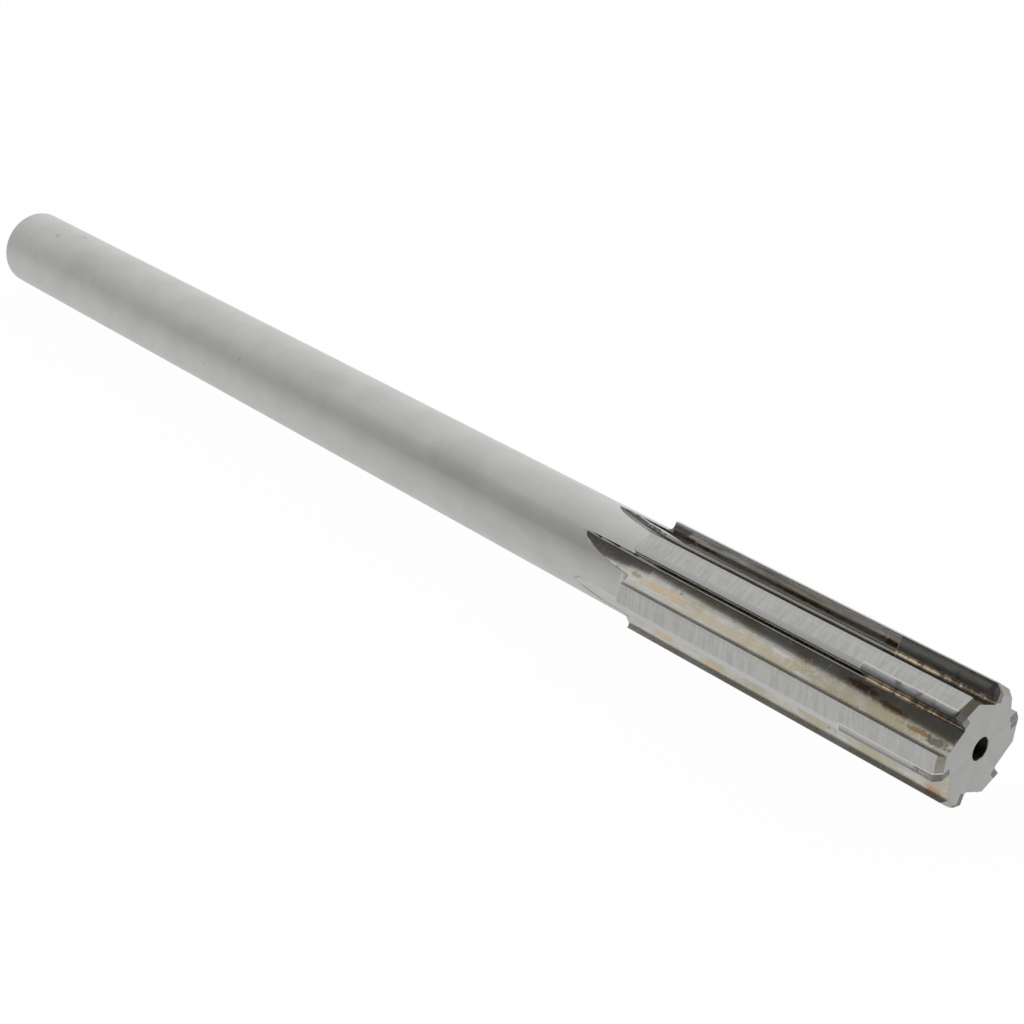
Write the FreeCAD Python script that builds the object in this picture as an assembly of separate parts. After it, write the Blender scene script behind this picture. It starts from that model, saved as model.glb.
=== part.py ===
"""Carbide-tipped machine reamer, 11/16 in, straight shank, six straight flutes, right-hand cut.

A one-piece steel body carries six brazed carbide tips, one at the front of each tooth.
Millimetres. The tool's axis is +X, from the centre of the shank's end face to the cutting
end. +Z is up: the tool lies on two of its lands, so one flute opens straight down.

A tooth is drawn once, with its cutting face in the XZ plane above the axis, and is then
turned about X to each of its places. In that drawing "out" is the distance from the axis
along the cutting face, and "ahead" is the distance in front of the face, into the flute.
"""
import FreeCAD, Part
import os
from math import acos, cos, degrees, radians, sin, sqrt, tan

Vector = FreeCAD.Vector
INCH = 25.4
AXIS = Vector(1, 0, 0)
ORIGIN = Vector(0, 0, 0)

# Overall sizes
overall_length = 9 * INCH
cutting_diameter = 11 / 16 * INCH
shank_diameter = 0.562 * INCH
head_length = 56.6            # from the tip back to the step down to the shank
shank_chamfer = 0.5
step_fillet = 1.3             # round left by the wheel at the foot of the step

# Teeth
tooth_count = 6
land_width = 3.88             # round the cutting circle, from the cutting edge to the heel
margin_width = 0.85           # the part of the land left cylindrical behind the edge
heel_drop = 0.2               # how far the flat behind the margin has fallen at the heel
lead_chamfer = 0.8            # 45 degree lead that does the cutting, measured along the axis
lead_relief_angle = 12.0      # degrees, how steeply the lead falls away behind its edge

# Flutes
flute_depth = 2.6             # along the cutting face, which is radial
floor_slope = 3.5             # degrees, the floor rises away from the face
heel_wall_angle = 28.0        # degrees, between the far wall and the cutting face
root_radius = 0.45            # between the face and the floor
heel_radius = 0.8             # between the floor and the far wall
full_depth_length = 53.6      # from the tip back to where the wheel starts to lift out
wheel_radius = 100.0          # of the wheel that cuts the flutes and leaves the run-outs

# Carbide tips and their braze
tip_length = 5 / 8 * INCH
tip_thickness = 1.0
braze_gap = 0.15              # braze behind, under and at the back end of a tip

# Centre holes, 60 degree
tip_centre_diameter = 3.44
shank_centre_diameter = 4.4
pilot_diameter = 1.3
pilot_length = 1.8            # beyond the cone
CENTRE_HALF_ANGLE = 30.0
DRILL_HALF_ANGLE = 59.0

STEP_SHARE = 0.9              # the fillet may take this much of the step's height
PAST = 2.0                    # how far a cutting shape reaches past the blank
BESIDE = 1.0                  # how far it reaches past the side of a tooth

cutting_radius = cutting_diameter / 2
shank_radius = shank_diameter / 2
root_out = cutting_radius - flute_depth
step_x = overall_length - head_length
full_depth_x = overall_length - full_depth_length
pitch_angle = 360 / tooth_count
land_angle = degrees(land_width / cutting_radius)
flute_angle = pitch_angle - land_angle
first_face_angle = -flute_angle / 2          # puts a flute's middle straight up
face_angles = [first_face_angle + pitch_angle * tooth for tooth in range(tooth_count)]


def drawn(x, out, ahead):
    """A point of the tooth drawing."""
    return Vector(x, -ahead, out)


def on_circle(radius, angle):
    """Out and ahead of a point on a circle about the axis, angle degrees ahead of the face."""
    return radius * cos(radians(angle)), radius * sin(radians(angle))


def round_corner(before, corner, after, radius):
    """First, middle and last point of an arc of this radius that rounds a corner."""
    to_before = (before - corner).normalize()
    to_after = (after - corner).normalize()
    half_angle = to_before.getAngle(to_after) / 2
    reach = radius / tan(half_angle)
    bisector = (to_before + to_after).normalize()
    centre = corner + bisector * (radius / sin(half_angle))
    return corner + to_before * reach, centre - bisector * radius, corner + to_after * reach


def closed_face(edges):
    return Part.Face(Part.Wire(edges))


def polygon_face(points):
    return Part.Face(Part.makePolygon(points + points[:1]))


def line(start, end):
    return Part.LineSegment(start, end).toShape()


def arc(points):
    return Part.Arc(*points).toShape()


def turned(face):
    """A solid of revolution about the tool's axis."""
    return face.revolve(ORIGIN, AXIS, 360)


def at_tooth(shape, angle):
    """A copy of a drawn shape, turned to the tooth whose face stands at this angle."""
    copy = shape.copy()
    copy.rotate(ORIGIN, AXIS, angle)
    return copy


def blank():
    """The turned blank: chamfered shank, filleted step, head with its lead chamfer."""
    foot = Vector(step_x, 0, shank_radius)
    rim = Vector(step_x, 0, cutting_radius)
    fillet = min(step_fillet, STEP_SHARE * (cutting_radius - shank_radius))
    fillet_points = round_corner(Vector(0, 0, shank_radius), foot, rim, fillet)
    shank = [
        ORIGIN,
        Vector(0, 0, shank_radius - shank_chamfer),
        Vector(shank_chamfer, 0, shank_radius),
        fillet_points[0],
    ]
    head = [
        fillet_points[2],
        rim,
        Vector(overall_length - lead_chamfer, 0, cutting_radius),
        Vector(overall_length, 0, cutting_radius - lead_chamfer),
        Vector(overall_length, 0, 0),
        ORIGIN,
    ]
    edges = [line(a, b) for a, b in zip(shank, shank[1:])]
    edges.append(arc(fillet_points))
    edges += [line(a, b) for a, b in zip(head, head[1:])]
    return turned(closed_face(edges))


def centre_hole(end_x, inward, rim_diameter):
    """A 60 degree centre with its pilot, at an end face, inward being +1 or -1 along X."""
    rim = rim_diameter / 2
    pilot = pilot_diameter / 2
    cone_depth = (rim - pilot) / tan(radians(CENTRE_HALF_ANGLE))
    drill_point = pilot / tan(radians(DRILL_HALF_ANGLE))
    steps = [
        (0, 0),
        (0, rim),
        (cone_depth, pilot),
        (cone_depth + pilot_length, pilot),
        (cone_depth + pilot_length + drill_point, 0),
    ]
    return turned(polygon_face([Vector(end_x + inward * depth, 0, r) for depth, r in steps]))


def land_relief():
    """What is ground off a land behind its margin: a flat that ends lower at the heel."""
    margin_angle = degrees(margin_width / cutting_radius)
    start = drawn(step_x - PAST, *on_circle(cutting_radius, -margin_angle))
    heel = drawn(step_x - PAST, *on_circle(cutting_radius - heel_drop, -land_angle))
    along = (heel - start).normalize()
    past_heel = heel + along * BESIDE
    outward = along.cross(AXIS)
    if outward.z < 0:
        outward = -outward
    section = polygon_face([start, past_heel, past_heel + outward * PAST, start + outward * PAST])
    return section.extrude(AXIS * (head_length + 2 * PAST))


def lead_relief():
    """What is ground off the 45 degree lead behind its cutting edge."""
    edge_start = drawn(overall_length - lead_chamfer, cutting_radius, 0)
    down_the_lead = Vector(1, 0, -1).normalize()
    inward = Vector(-1, 0, -1).normalize()
    tilt = radians(lead_relief_angle)
    to_heel = Vector(0, 1, 0) * cos(tilt) + inward * sin(tilt)
    width = cutting_radius * sin(radians(land_angle)) + BESIDE
    corners = [
        edge_start - down_the_lead * PAST,
        edge_start + down_the_lead * (lead_chamfer * sqrt(2) + PAST),
    ]
    corners += [corner + to_heel * width for corner in reversed(corners)]
    outward = down_the_lead.cross(to_heel)
    if outward.x < 0:
        outward = -outward
    return polygon_face(corners).extrude(outward * PAST)


def floor_out(ahead):
    """How far out the flute's floor lies, this far ahead of the face."""
    return root_out + ahead * tan(radians(floor_slope))


def root_corner():
    """The sharp corner of face and floor, and the arc that rounds it, in the drawing."""
    corner = drawn(0, root_out, 0)
    up_the_face = drawn(0, cutting_radius, 0)
    along_the_floor = drawn(0, floor_out(flute_depth), flute_depth)
    return corner, round_corner(up_the_face, corner, along_the_floor, root_radius)


def flute_section():
    """Section of a flute: radial face, rounded root, sloping floor, leaning far wall."""
    top = cutting_radius + PAST
    heel_out, heel_ahead = on_circle(cutting_radius, flute_angle)
    lean = tan(radians(heel_wall_angle))
    slope = tan(radians(floor_slope))
    foot_ahead = (heel_ahead - lean * (heel_out - root_out)) / (1 - lean * slope)
    foot = drawn(0, floor_out(foot_ahead), foot_ahead)
    wall_top = drawn(0, top, heel_ahead + lean * (top - heel_out))
    face_top = drawn(0, top, 0)
    corner, root_arc = root_corner()
    foot_arc = round_corner(corner, foot, wall_top, heel_radius)
    return closed_face([
        line(face_top, root_arc[0]),
        arc(root_arc),
        line(root_arc[2], foot_arc[0]),
        arc(foot_arc),
        line(foot_arc[2], wall_top),
        line(wall_top, face_top),
    ])


def flute_cut():
    """The straight flute, and the round run-out that the wheel leaves as it lifts."""
    section = flute_section()
    section.translate(Vector(full_depth_x, 0, 0))
    straight = section.extrude(AXIS * (full_depth_length + PAST))
    wheel_centre = Vector(full_depth_x, 0, root_out + wheel_radius)
    climb = degrees(acos(1 - (flute_depth + PAST) / wheel_radius))
    run_out = section.revolve(wheel_centre, Vector(0, 1, 0), climb)
    return straight.fuse(run_out)


def block(length, back, bottom_out):
    """A bar behind the cutting face that ends past the tip of the tool and the cutting circle."""
    height = cutting_radius + PAST - bottom_out
    corner = drawn(overall_length - length, bottom_out, 0)
    return Part.makeBox(length + PAST, back, height, corner)


def bead():
    """The braze that fills the root corner in front of a tip, as round as the steel root."""
    corner, root_arc = root_corner()
    section = closed_face([line(root_arc[0], corner), line(corner, root_arc[2]), arc(root_arc)])
    section.translate(Vector(overall_length - tip_length - braze_gap, 0, 0))
    return section.extrude(AXIS * (tip_length + braze_gap + PAST))


def pocket():
    """The seat milled for a tip and its braze."""
    seat = block(tip_length + braze_gap, tip_thickness + braze_gap, root_out)
    return seat.fuse(bead())


def tip():
    return block(tip_length, tip_thickness, root_out + braze_gap)


def save(shape, node):
    (solid,) = shape.Solids
    solid.exportStep("parts/%s.step" % node)


def main():
    os.makedirs("parts", exist_ok=True)
    ground_form = blank()
    for relief in (land_relief(), lead_relief()):
        ground_form = ground_form.cut([at_tooth(relief, angle) for angle in face_angles])
    ground_form = ground_form.removeSplitter()

    flute, seat, carbide = flute_cut(), pocket(), tip()
    body = ground_form.cut([at_tooth(flute, angle) for angle in face_angles])
    body = body.cut([at_tooth(seat, angle) for angle in face_angles])
    body = body.cut(centre_hole(overall_length, -1, tip_centre_diameter))
    body = body.cut(centre_hole(0, 1, shank_centre_diameter))
    save(body.removeSplitter(), "reamer_body")

    braze = seat.cut(carbide)
    for tooth, angle in enumerate(face_angles, start=1):
        save(at_tooth(carbide, angle).common(ground_form), "carbide_tip_%d" % tooth)
        save(at_tooth(braze, angle).common(ground_form), "braze_joint_%d" % tooth)


main()
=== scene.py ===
"""Looks of the machine reamer: ground steel, brazed carbide tips, white studio floor."""
import math

import bpy
import numpy as np
from mathutils import Matrix, Vector

MM = 0.001

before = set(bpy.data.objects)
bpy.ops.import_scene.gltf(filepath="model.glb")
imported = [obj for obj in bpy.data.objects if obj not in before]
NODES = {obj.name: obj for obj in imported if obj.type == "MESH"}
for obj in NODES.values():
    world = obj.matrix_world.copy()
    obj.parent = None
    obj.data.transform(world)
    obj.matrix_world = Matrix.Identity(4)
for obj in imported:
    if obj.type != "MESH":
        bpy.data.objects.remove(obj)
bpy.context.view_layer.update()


def points_of(name):
    """A CAD node's vertices in millimetres."""
    return np.array([v.co for v in NODES[name].data.vertices], float) / MM


# The tool's own sizes, read off the CAD nodes (millimetres)
body_points = points_of("reamer_body")
body_radius = np.hypot(body_points[:, 1], body_points[:, 2])
LENGTH = body_points[:, 0].max()
CUTTING_R = max(np.hypot(*points_of("carbide_tip_1")[:, 1:].T))
SHANK_R = body_radius[body_points[:, 0] < 0.1 * LENGTH].max()
STEP_X = body_points[body_radius > CUTTING_R - 0.02, 0].min()
TIP_X = points_of("carbide_tip_1")[:, 0].min()

# Sizes of the teeth as the CAD source states them (millimetres and degrees)
TEETH = 6
STEP_ANGLE = 360 / TEETH
LAND_ANGLE = math.degrees(3.88 / CUTTING_R)
FLUTE_ANGLE = STEP_ANGLE - LAND_ANGLE
FACE_ANGLE = -FLUTE_ANGLE / 2
MARGIN = 0.85
LEAD = 0.8                    # length of the 45 degree lead at the tip
FLOOR_SLOPE = 3.5
ROOT_R = CUTTING_R - 2.6      # where a cutting face meets the flute's floor
BORE_R = 1.72                 # mouth of the tip's centre hole
HEEL_AHEAD = CUTTING_R * math.sin(math.radians(FLUTE_ANGLE))

# The ground hollow of a flute's floor, which the CAD leaves flat: it only turns the shading.
# The rise is HOLLOW * distance ^ 2 from the lowest line, which lies HOLLOW_LOW ahead of the face.
HOLLOW = 0.05
HOLLOW_LOW = 2.0
HOLLOW_END = HEEL_AHEAD - 0.3

# Where one kind of surface gives way to the next (millimetres)
LAND_R = CUTTING_R - 0.27     # below the lowest part of a land
SHANK_SKIN = 0.07             # deeper than the flats of the CAD mesh, so that they don't show
END_SKIN = 0.02
FACE_SKIN = 0.065
RUN_OUT_REACH = 39.5          # back from the step, further than any run-out goes
TIP_HOLE_DEPTH = 8.95

# Light levels: 1 renders white
ROOM_LEVEL = 0.11
SOFTBOX_LEVEL = 1.0
FLOOR_GLOW = 1.03
FLOOR_WHITE = 0.94            # how much of the floor's look is plain white, the rest is lit
FLOOR_SIDE = 3000.0           # millimetres, half the floor's width

# Dark blots on the shank: x, reach along, angle, reach round, share (millimetres and degrees)
SHANK_BLOTS = (
    (12.7, 0.5, 22, 4.5, 0.5), (17.8, 0.8, -2, 4, 0.5), (51.6, 0.4, 108, 3, 0.5),
    (77.4, 0.45, 60, 3, 0.5), (68.1, 0.35, 91, 2.5, 0.5), (134.0, 9.0, 47, 26, 0.12),
    (26.0, 7.0, 40, 30, 0.12), (98.0, 5.0, 30, 22, 0.12),
)
# Rust, stains and one painted shadow: tooth, x, reach along, place, reach across, share, colour.
# On a cutting face the place is the distance out; on a flute's floor it is the distance ahead of the
# face.
RED = (0.20, 0.10, 0.05)
TAN = (0.50, 0.39, 0.27)
OLIVE = (0.25, 0.22, 0.14)
FACE_STAINS = (
    (1, 174.4, 3.5, 7.3, 0.35, 0.9, RED), (1, 178.4, 3.0, 7.15, 0.3, 0.8, RED),
    (1, 196.9, 8.0, 7.05, 0.3, 0.8, RED), (1, 212.0, 2.6, 7.2, 0.6, 0.9, RED),
    (2, 198.2, 2.5, 6.9, 0.5, 0.7, RED), (2, 210.5, 2.6, 6.6, 0.5, 0.9, RED),
)
FLOOR_STAINS_AND_SHADOW = (
    (2, 213.0, 3.4, 1.4, 0.7, 0.9, RED), (2, 218.5, 3.4, 2.2, 0.6, 0.9, RED),
    (2, 223.5, 3.0, 3.1, 0.5, 0.9, RED), (2, 164.4, 5.0, 2.5, 2.0, 0.7, (0.80, 0.72, 0.60)),
    (2, 173.2, 1.2, 2.5, 0.5, 0.7, OLIVE), (2, 178.8, 6.0, 2.8, 0.7, 0.8, TAN),
    (2, 192.0, 14.0, 3.4, 0.9, 0.6, (0.44, 0.38, 0.27)), (2, 214.0, 14.0, 3.2, 1.4, 0.5, OLIVE),
    (2, 226.5, 2.2, 3.3, 0.9, 0.8, (0.09, 0.085, 0.08)),
    # painted shadow: a near-black sheet over the first flute's floor at its run-out
    (1, 164.0, 9.0, 1.5, 3.5, 0.9, (0.06, 0.06, 0.06)),
    (3, 165.0, 9.0, 2.5, 3.5, 0.5, (0.45, 0.45, 0.44)),
    (3, 179.0, 2.4, 3.4, 0.7, 0.8, TAN), (3, 187.7, 2.6, 3.9, 0.6, 0.8, TAN),
    (3, 226.0, 1.6, 4.1, 0.7, 0.8, (0.40, 0.22, 0.15)), (5, 190.0, 6.0, 3.0, 0.9, 0.7, TAN),
    (6, 205.0, 5.0, 2.6, 0.8, 0.7, RED), (1, 200.0, 7.0, 2.6, 0.8, 0.6, OLIVE),
)


# ---------------------------------------------------------------- camera
def camera():
    """The photographer's place: above the cutting end, looking back along the shank."""
    data = bpy.data.cameras.new("camera")
    data.sensor_width = 36.0
    data.lens = 71.37
    data.clip_start, data.clip_end = 0.01, 20
    cam = bpy.data.objects.new("camera", data)
    bpy.context.scene.collection.objects.link(cam)
    right = Vector((0.673429, 0.73704, 0.05712))
    down = Vector((0.361760, -0.26118, -0.89494))
    forward = right.cross(down)
    turn = Matrix((right, -down, -forward)).transposed()
    place = Vector((343.5, -196.1, 137.2)) * MM
    cam.matrix_world = Matrix.Translation(place) @ turn.to_4x4()
    bpy.context.scene.camera = cam
    return forward


# ---------------------------------------------------------------- nodes helpers
class Graph:
    """Short ways to write a material's nodes."""

    def __init__(self, tree):
        self.tree = tree
        tree.nodes.clear()

    def node(self, kind, **settings):
        made = self.tree.nodes.new(kind)
        for key, value in settings.items():
            setattr(made, key, value)
        return made

    def put(self, socket, value):
        if isinstance(value, bpy.types.NodeSocket):
            self.tree.links.new(value, socket)
        elif value is not None:
            socket.default_value = value

    def math(self, operation, a, b=None, c=None):
        made = self.node("ShaderNodeMath", operation=operation)
        for socket, value in zip(made.inputs, (a, b, c)):
            self.put(socket, value)
        return made.outputs[0]

    def times(self, first, *others):
        for other in others:
            first = self.math("MULTIPLY", first, other)
        return first

    def add(self, a, b):
        return self.math("ADD", a, b)

    def less(self, a, b):
        return self.math("SUBTRACT", a, b)

    def flip(self, share):
        return self.math("SUBTRACT", 1.0, share)

    def ramp(self, value, low, high, to_low=0.0, to_high=1.0, smooth=True):
        made = self.node("ShaderNodeMapRange", clamp=True)
        made.interpolation_type = "SMOOTHSTEP" if smooth else "LINEAR"
        for socket, number in zip(made.inputs, (value, low, high, to_low, to_high)):
            self.put(socket, number)
        return made.outputs[0]

    def past(self, value, edge, soft):
        """0 before an edge and 1 after it."""
        return self.ramp(value, edge - soft, edge + soft)

    def short_of(self, value, edge, soft):
        """1 before an edge and 0 after it."""
        return self.ramp(value, edge - soft, edge + soft, 1.0, 0.0)

    def vector(self, x, y, z):
        made = self.node("ShaderNodeCombineXYZ")
        for socket, value in zip(made.inputs, (x, y, z)):
            self.put(socket, value)
        return made.outputs[0]

    def noise(self, at, scale, detail, rough, warp=0.0):
        made = self.node("ShaderNodeTexNoise")
        self.put(made.inputs["Vector"], at)
        self.put(made.inputs["Scale"], scale)
        self.put(made.inputs["Detail"], detail)
        self.put(made.inputs["Roughness"], rough)
        self.put(made.inputs["Distortion"], warp)
        return made.outputs["Fac"]

    def mix(self, share, a, b):
        """From colour a to colour b."""
        made = self.node("ShaderNodeMix", data_type="RGBA", clamp_factor=True)
        for index, value in ((0, share), (6, a), (7, b)):
            self.put(made.inputs[index], value)
        return made.outputs[2]

    def blend(self, share, a, b):
        """From number a to number b."""
        made = self.node("ShaderNodeMix", data_type="FLOAT", clamp_factor=True)
        for index, value in ((0, share), (2, a), (3, b)):
            self.put(made.inputs[index], value)
        return made.outputs[0]

    def bump(self, height, normal=None):
        """A normal turned by a height in millimetres."""
        made = self.node("ShaderNodeBump")
        made.inputs["Strength"].default_value = 1.0
        made.inputs["Distance"].default_value = MM
        self.put(made.inputs["Height"], height)
        self.put(made.inputs["Normal"], normal)
        return made.outputs[0]

    def metal(self, colour, rough, normal, metallic=1.0):
        out = self.node("ShaderNodeOutputMaterial")
        bsdf = self.node("ShaderNodeBsdfPrincipled")
        self.put(bsdf.inputs["Base Color"], colour)
        self.put(bsdf.inputs["Metallic"], metallic)
        self.put(bsdf.inputs["Roughness"], rough)
        self.put(bsdf.inputs["Normal"], normal)
        self.put(out.inputs["Surface"], bsdf.outputs[0])


class Tool(Graph):
    """A material's graph with the tool's own coordinates, in millimetres and degrees.

    x runs from the shank end, r is the distance from the axis, psi the angle about it. ahead
    and out place a point in front of its tooth's cutting face, back is the angle behind the
    nearest cutting edge, behind is the same as a length round the land, and tooth counts from
    0. shank, land, face, floor (of a flute) and end are 1 on that surface and 0 elsewhere.
    """

    def __init__(self, tree):
        super().__init__(tree)
        coords = self.node("ShaderNodeTexCoord")
        parts = self.node("ShaderNodeSeparateXYZ")
        self.put(parts.inputs[0], coords.outputs["Object"])
        self.x, y, z = (self.times(parts.outputs[i], 1 / MM) for i in range(3))
        self.grain_at = self.vector(self.x, y, z)
        self.r = self.math("SQRT", self.add(self.times(y, y), self.times(z, z)))
        self.psi = self.times(self.math("ARCTAN2", self.times(y, -1.0), z), math.degrees(1))
        turned = self.less(self.psi, FACE_ANGLE)
        steps = self.math("FLOOR", self.times(self.add(turned, 0.5), 1 / STEP_ANGLE))
        self.tooth = self.math("FLOORED_MODULO", steps, float(TEETH))
        radians = self.times(self.less(turned, self.times(steps, STEP_ANGLE)), math.radians(1))
        self.ahead = self.times(self.r, self.math("SINE", radians))
        self.out = self.times(self.r, self.math("COSINE", radians))
        self.back = self.math("FLOORED_MODULO", self.times(turned, -1.0), STEP_ANGLE)
        self.behind = self.times(self.back, self.r, math.radians(1))

        in_head = self.past(self.x, STEP_X, 0.05)
        self.end = self.past(self.x, LENGTH - END_SKIN, 0.01)
        self.land = self.times(in_head, self.past(self.r, LAND_R, 0.03), self.flip(self.end))
        self.shank = self.times(self.flip(in_head), self.past(self.r, SHANK_R - SHANK_SKIN, 0.02))
        self.flute = self.times(
            self.flip(self.land), self.flip(self.shank), self.flip(self.end),
            self.past(self.x, STEP_X - RUN_OUT_REACH, 0.5))
        at_face = self.short_of(self.math("ABSOLUTE", self.ahead), FACE_SKIN, 0.035)
        self.face = self.times(self.flute, at_face)
        self.floor = self.times(self.flute, self.flip(self.face))

    def patch(self, x, x_reach, across, place, reach, ragged, size):
        """A ragged blot about a place: across is the coordinate across the tool."""
        along = self.times(self.less(self.x, x), 1 / x_reach)
        aside = self.times(self.less(across, place), 1 / reach)
        distance = self.math("SQRT", self.add(self.times(along, along), self.times(aside, aside)))
        edge = self.noise(self.grain_at, size, 4.0, 0.65)
        edge = self.times(self.less(edge, 0.5), 2 * ragged)
        return self.ramp(self.add(distance, edge), 0.45, 1.0, 1.0, 0.0)

    def stained_and_shaded(self, colour, stains, across, where):
        """The colour with a list of stains, and any painted shadow among them, laid over it."""
        for tooth, x, x_reach, place, reach, share, tint in stains:
            here = self.math("COMPARE", self.tooth, float(tooth - 1), 0.5)
            blot = self.patch(x, x_reach, across, place, reach, 0.9, 1.6)
            colour = self.mix(self.times(blot, where, here, share), colour, rgb(*tint))
        return colour

    def toward_tip(self, noise, start, gain, low, high):
        """A noise cut to patches that thicken from start to the tip."""
        return self.ramp(self.add(noise, self.ramp(self.x, start, LENGTH, 0.0, gain)), low, high)


def rgb(r, g, b):
    return (r, g, b, 1.0)


def grey(level):
    return rgb(level, level, level)


# ---------------------------------------------------------------- stage
def floor_plane():
    """A point and the normal of the plane that the tool rests on: shank end and two lands."""
    points = np.concatenate([points_of(name) for name in NODES])
    shank = points[points[:, 0] < 1]
    low = points[points[:, 2] < points[:, 2].min() + 1e-3]
    edge = Vector(low[low[:, 0].argmin()])
    far = points[(points[:, 1] * edge.y < 0) & (points[:, 0] < edge.x + 1)]
    heel = Vector(far[far[:, 2].argmin()])
    rest = Vector(shank[shank[:, 2].argmin()])
    normal = (heel - edge).cross(rest - edge).normalized()
    return edge, normal if normal.z > 0 else -normal


def floor():
    """A white floor that keeps a trace of the tool's shadow."""
    edge, normal = floor_plane()
    mesh = bpy.data.meshes.new("floor")
    across = (Vector((1, 0, 0)) - normal * normal.x).normalized()
    along = normal.cross(across)
    signs = ((-1, -1), (1, -1), (1, 1), (-1, 1))
    corners = [(edge + (across * a + along * b) * FLOOR_SIDE) * MM for a, b in signs]
    mesh.from_pydata(corners, [], [(0, 1, 2, 3)])
    made = bpy.data.objects.new("floor", mesh)
    bpy.context.scene.collection.objects.link(made)
    mat = bpy.data.materials.new("floor")
    mat.use_nodes = True
    g = Graph(mat.node_tree)
    out = g.node("ShaderNodeOutputMaterial")
    diffuse = g.node("ShaderNodeBsdfDiffuse")
    diffuse.inputs["Color"].default_value = grey(0.9)
    white = g.node("ShaderNodeEmission")
    white.inputs["Strength"].default_value = FLOOR_GLOW
    ray = g.node("ShaderNodeLightPath")
    seen = g.math("MAXIMUM", ray.outputs["Is Camera Ray"], ray.outputs["Is Glossy Ray"])
    both = g.node("ShaderNodeMixShader")
    g.put(both.inputs[0], g.times(seen, FLOOR_WHITE))
    g.put(both.inputs[1], diffuse.outputs[0])
    g.put(both.inputs[2], white.outputs[0])
    g.put(out.inputs["Surface"], both.outputs[0])
    mesh.materials.append(mat)


def studio(forward):
    """A softbox over the back half of the table and a white sweep behind; a dim room in front.

    The softbox's front edge runs straight over the tool, level with the picture.
    """
    world = bpy.data.worlds.new("studio")
    bpy.context.scene.world = world
    world.use_nodes = True
    g = Graph(world.node_tree)
    out = g.node("ShaderNodeOutputWorld")
    coords = g.node("ShaderNodeTexCoord")
    parts = g.node("ShaderNodeSeparateXYZ")
    g.put(parts.inputs[0], coords.outputs["Generated"])
    flat = Vector((forward.x, forward.y, 0)).normalized()
    back = g.add(g.times(parts.outputs["X"], flat.x), g.times(parts.outputs["Y"], flat.y))
    lean = g.times(parts.outputs["Z"], 0.03)
    level = g.ramp(g.less(back, lean), 0.03, 0.07, ROOM_LEVEL, SOFTBOX_LEVEL)
    ray = g.node("ShaderNodeLightPath")
    background = g.node("ShaderNodeBackground")
    background.inputs["Color"].default_value = grey(1)
    g.put(background.inputs["Strength"], g.blend(ray.outputs["Is Camera Ray"], level, 1.0))
    g.put(out.inputs["Surface"], background.outputs[0])


# ---------------------------------------------------------------- materials
def new_material(name):
    mat = bpy.data.materials.new(name)
    mat.use_nodes = True
    return mat, Tool(mat.node_tree)


def marks(g):
    """The wheel's marks across a land: uneven bars about half a millimetre apart."""
    slanted = g.add(g.x, g.times(g.behind, 0.12))
    at = g.vector(g.times(slanted, 2.1), g.times(g.behind, 0.3), g.times(g.tooth, 7.3))
    return g.ramp(g.noise(at, 1.0, 3.0, 0.6, 0.2), 0.3, 0.7)


def scratches(g):
    """Fine lengthwise lines on a ground face or floor."""
    at = g.vector(g.times(g.x, 0.16), g.times(g.out, 6.0), g.times(g.ahead, 6.0))
    return g.noise(at, 1.0, 5.0, 0.7)


def shank_colour(g, fine, cloud):
    """Satin steel with faint clouds, a few dark pits and some blots."""
    colour = g.mix(g.ramp(cloud, 0.35, 0.65), rgb(0.72, 0.715, 0.695), rgb(0.77, 0.765, 0.745))
    colour = g.mix(g.times(g.ramp(fine, 0.35, 0.7), 0.35), colour, rgb(0.62, 0.62, 0.605))
    pits = g.times(g.ramp(g.noise(g.grain_at, 3.2, 3.0, 0.7), 0.71, 0.78), 0.7)
    colour = g.mix(pits, colour, rgb(0.2, 0.19, 0.17))
    for x, x_reach, psi, reach, share in SHANK_BLOTS:
        blot = g.times(g.patch(x, x_reach, g.psi, psi, reach, 0.6, 0.8), share)
        colour = g.mix(blot, colour, rgb(0.36, 0.35, 0.33))
    return colour


def land_colour(g, bars, cloud, margin):
    """Bars across the relief, and a smoother margin."""
    colour = g.mix(bars, rgb(0.41, 0.41, 0.40), rgb(0.50, 0.50, 0.485))
    colour = g.mix(g.times(g.ramp(cloud, 0.4, 0.7), 0.2), colour, rgb(0.46, 0.44, 0.40))
    return g.mix(g.times(margin, 0.7), colour, rgb(0.49, 0.492, 0.49))


def floor_colour(g, lines):
    """Scratched, with olive staining that thickens toward the tip, and painted shade in the corner at
    the cutting face's foot.
    """
    colour = g.mix(g.ramp(lines, 0.35, 0.7), rgb(0.51, 0.50, 0.465), rgb(0.39, 0.385, 0.36))
    stain = g.toward_tip(g.noise(g.grain_at, 0.22, 4.0, 0.6), STEP_X, 0.08, 0.46, 0.64)
    stain = g.times(stain, g.ramp(g.x, STEP_X - 4, STEP_X + 6))
    colour = g.mix(g.times(stain, 0.75), colour, rgb(0.36, 0.33, 0.24))
    # painted shade: the floor darkened to near black along its corner with the cutting face
    root_shade = g.ramp(g.ahead, 0.15, 0.6, 1.0, 0.0)
    return g.mix(g.times(root_shade, 0.6), colour, rgb(0.09, 0.08, 0.07))


def end_colour(g, fine):
    """Plain ground, with painted shading of the ground facets: each tooth's part of the end darker
    toward the tooth behind.
    """
    colour = g.mix(g.ramp(fine, 0.3, 0.7), rgb(0.35, 0.35, 0.345), rgb(0.41, 0.41, 0.40))
    # painted shading: stands in for the facets' differing light, darker toward the tooth behind
    facet_shade = g.ramp(g.back, 0.0, STEP_ANGLE, smooth=False)
    return g.mix(g.times(facet_shade, 0.3), colour, grey(0.28))


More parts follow.
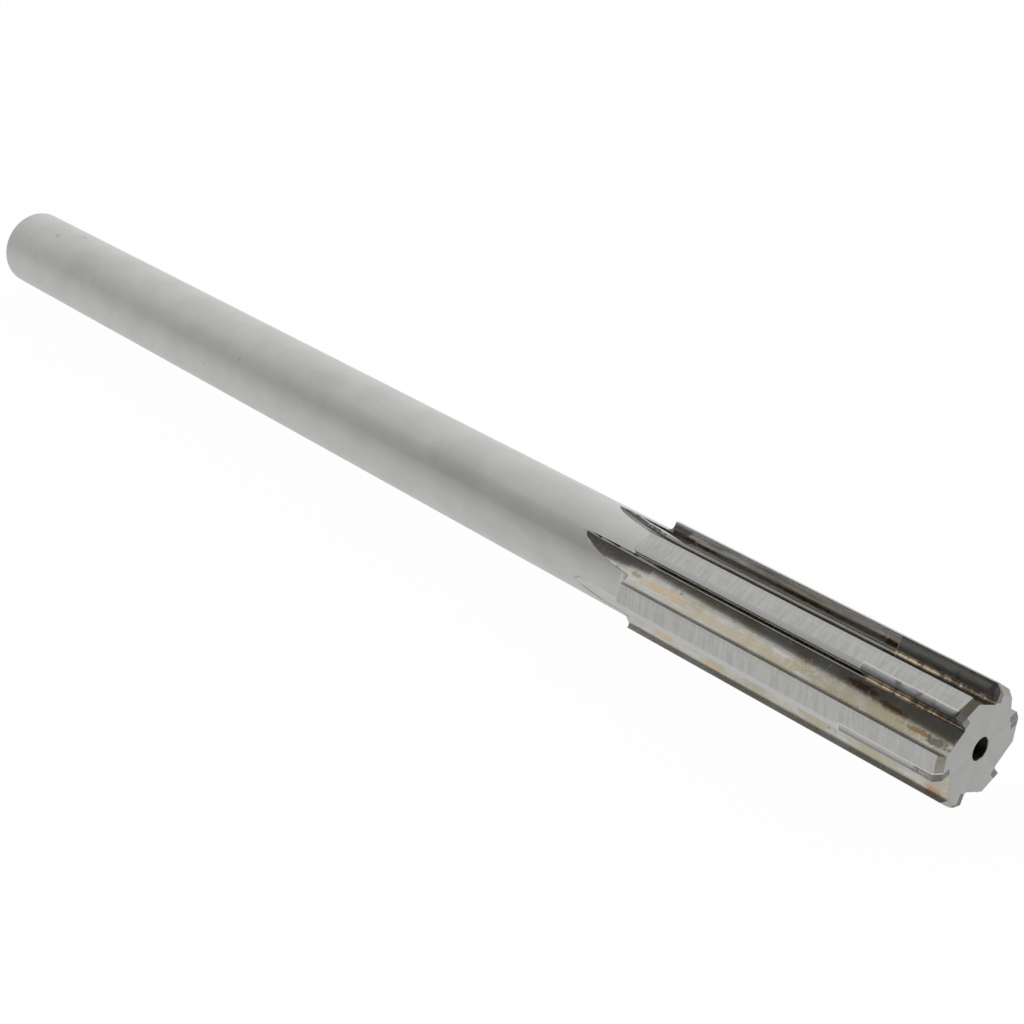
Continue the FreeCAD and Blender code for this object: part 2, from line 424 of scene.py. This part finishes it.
def steel():
    mat, g = new_material("ground_steel")
    cloud = g.noise(g.grain_at, 0.16, 3.0, 0.55)
    fine = g.noise(g.grain_at, 7.0, 2.0, 0.6)
    bars, lines = marks(g), scratches(g)
    margin = g.short_of(g.behind, MARGIN, 0.06)
    rust = g.ramp(g.noise(g.grain_at, 0.8, 5.0, 0.7, 0.4), 0.62, 0.7)
    rust = g.times(g.flute, rust, 0.55)
    # painted shade: the inside of the tip's centre hole is coloured near black
    hole_shade = g.times(
        g.ramp(g.r, BORE_R, BORE_R + 0.05, 1.0, 0.0),
        g.past(g.x, LENGTH - TIP_HOLE_DEPTH, 0.05),
        g.ramp(g.x, LENGTH - 0.05, LENGTH - 0.15))

    colour = g.mix(g.land, shank_colour(g, fine, cloud), land_colour(g, bars, cloud, margin))
    colour = g.mix(g.floor, colour, floor_colour(g, lines))
    colour = g.mix(g.face, colour, g.mix(g.ramp(lines, 0.42, 0.62), rgb(0.62, 0.61, 0.60), grey(0.30)))
    colour = g.stained_and_shaded(colour, FACE_STAINS, g.out, g.face)
    colour = g.stained_and_shaded(colour, FLOOR_STAINS_AND_SHADOW, g.ahead, g.floor)
    colour = g.mix(rust, colour, rgb(0.17, 0.10, 0.055))
    colour = g.mix(g.end, colour, end_colour(g, fine))
    colour = g.mix(hole_shade, colour, rgb(0.035, 0.03, 0.026))

    rough = g.blend(g.shank, 0.30, 0.46)
    rough = g.blend(g.land, rough, g.blend(margin, 0.42, 0.34))
    rough = g.blend(g.flute, rough, g.add(0.07, g.times(lines, 0.09)))
    rough = g.blend(g.times(g.floor, g.ramp(g.ahead, 3.6, 4.6)), rough, 0.4)
    rough = g.blend(g.end, rough, 0.36)
    rough = g.blend(hole_shade, rough, 0.7)
    rough = g.add(rough, g.times(g.less(fine, 0.5), 0.12))
    rough = g.blend(rust, rough, 0.6)

    # the shank and the flutes' far walls are matte enough to be partly plain grey
    wall = g.times(g.floor, g.ramp(g.ahead, 4.0, 4.6))
    metallic = g.blend(g.shank, g.blend(wall, 1.0, 0.4), 0.45)

    # the floor's shallow hollow, then the grain
    ahead = g.math("MINIMUM", g.math("MAXIMUM", g.ahead, 0.0), HOLLOW_END)
    offset = g.less(ahead, HOLLOW_LOW)
    flat = g.times(ahead, math.tan(math.radians(FLOOR_SLOPE)))
    hollow = g.less(g.times(offset, offset, HOLLOW), flat)
    grain = g.add(g.times(fine, 0.0012), g.times(g.land, bars, 0.004))
    grain = g.add(grain, g.times(g.flute, lines, 0.0015))
    g.metal(colour, rough, g.bump(grain, g.bump(g.times(hollow, g.flute))), metallic)
    return mat


def carbide():
    mat, g = new_material("carbide")
    fine = g.noise(g.grain_at, 6.0, 3.0, 0.6)
    lines = scratches(g)
    on_face = g.ramp(g.behind, 0.02, 0.06, 1.0, 0.0)
    lead = g.times(g.past(g.x, LENGTH - LEAD, 0.03), g.ramp(g.behind, 0.03, 0.06))

    land = g.mix(g.ramp(g.behind, 0.0, 1.0), rgb(0.20, 0.20, 0.205), grey(0.42))
    face = g.mix(g.ramp(lines, 0.4, 0.65), rgb(0.30, 0.30, 0.31), rgb(0.20, 0.20, 0.21))
    colour = g.mix(on_face, land, face)
    colour = g.mix(g.times(g.ramp(fine, 0.5, 0.7), 0.3), colour, grey(0.14))
    smudge = g.toward_tip(g.noise(g.grain_at, 0.5, 4.0, 0.6), TIP_X, 0.12, 0.58, 0.72)
    colour = g.mix(g.times(smudge, 0.7), colour, rgb(0.09, 0.085, 0.08))
    colour = g.mix(g.math("MAXIMUM", g.end, lead), colour, rgb(0.38, 0.38, 0.385))

    rough = g.add(g.blend(lead, 0.17, 0.45), g.times(fine, 0.12))
    normal = g.bump(g.add(g.times(fine, 0.0008), g.times(lines, 0.001)))
    g.metal(colour, rough, normal, g.blend(lead, 1.0, 0.15))
    return mat


def braze():
    mat, g = new_material("braze")
    fine = g.noise(g.grain_at, 3.0, 4.0, 0.6)
    # dark patches thickening toward the tip, kept to the root corner: partly dirt, partly painted
    # shade
    dirt_and_root_shade = g.toward_tip(g.noise(g.grain_at, 0.9, 4.0, 0.6), TIP_X, 0.2, 0.5, 0.7)
    in_root = g.ramp(g.r, ROOT_R + 1.2, ROOT_R + 1.6, 1.0, 0.0)
    colour = g.mix(g.ramp(fine, 0.35, 0.65), rgb(0.78, 0.66, 0.50), rgb(0.62, 0.50, 0.36))
    colour = g.mix(g.times(dirt_and_root_shade, in_root, 0.85), colour, rgb(0.10, 0.075, 0.05))
    colour = g.mix(g.land, colour, rgb(0.60, 0.58, 0.54))
    colour = g.mix(g.end, colour, rgb(0.42, 0.40, 0.37))
    g.metal(colour, g.add(0.25, g.times(fine, 0.2)), g.bump(g.times(fine, 0.006)))
    return mat


bpy.context.scene.view_settings.view_transform = "Standard"
floor()
studio(camera())

LOOKS = {"reamer": steel(), "carbide": carbide(), "braze": braze()}
for name, node in NODES.items():
    node.data.materials.clear()
    node.data.materials.append(LOOKS[name.split("_")[0]])
